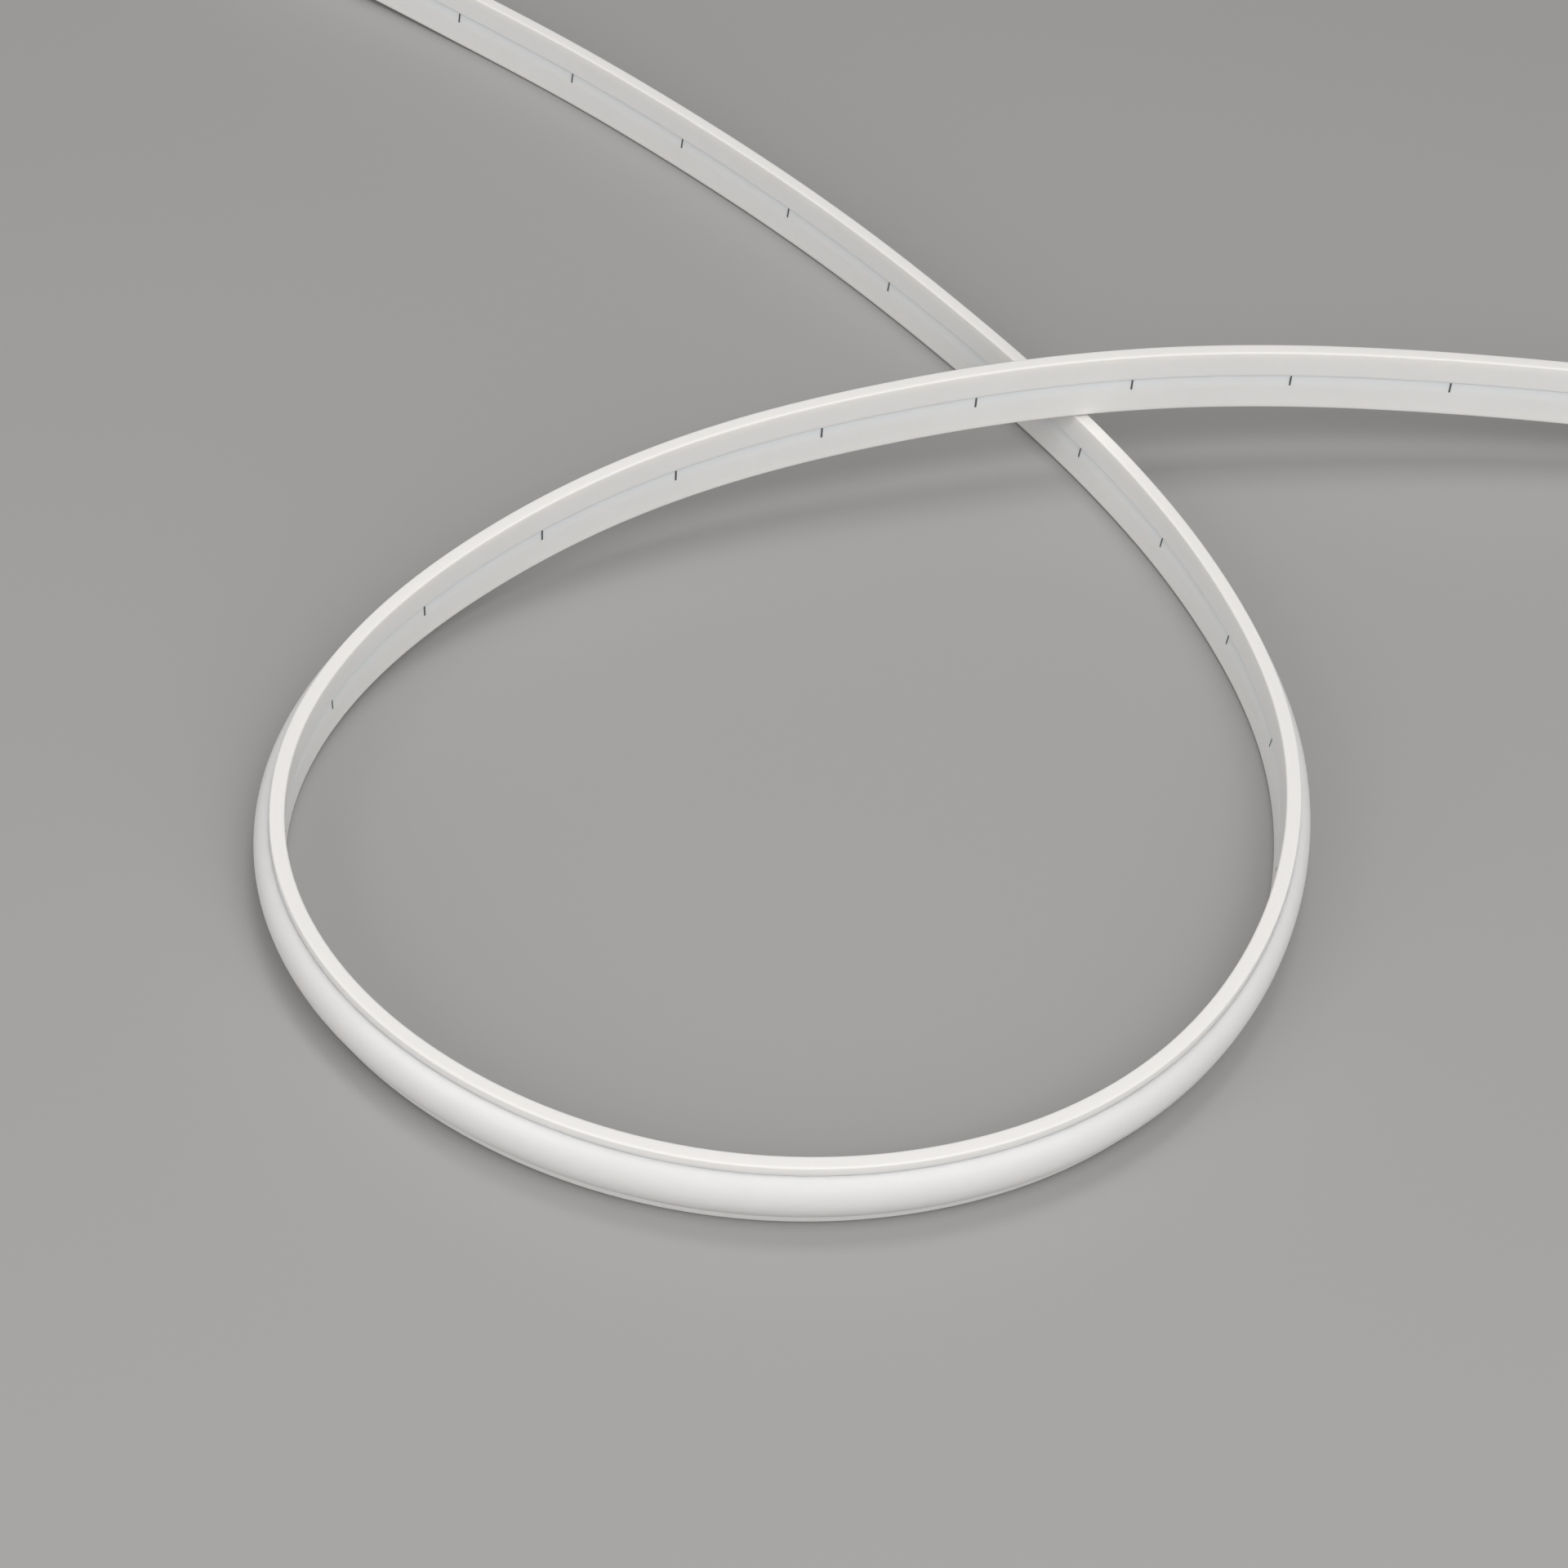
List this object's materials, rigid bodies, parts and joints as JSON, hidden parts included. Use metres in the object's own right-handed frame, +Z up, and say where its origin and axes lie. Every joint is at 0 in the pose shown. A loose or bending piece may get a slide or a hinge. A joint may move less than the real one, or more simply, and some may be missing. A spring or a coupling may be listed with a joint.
{
  "type": "neon flex strip",
  "caption": "Flat flexible light strip in white silicone with a milky domed front, standing on its edge in one open loop that climbs over itself.",
  "frame": {"origin": "centre of the laid strip's bounding box, on the floor that its lower edge stands on", "axes": "+Z up, along the strip's width as it stands; the strip comes in from -X +Y, runs round the loop clockwise seen from above and leaves to +X"},
  "size_m": [0.381, 0.4097, 0.0321],
  "materials": {
    "white_silicone": "matte",
    "milky_silicone": "satin",
    "white_board": "satin"
  },
  "bodies": {
    "root": {"channel": "white_silicone", "diffuser": "milky_silicone", "circuit_board": "white_board", "start_cap": "milky_silicone", "end_cap": "milky_silicone"}
  },
  "joints": []
}
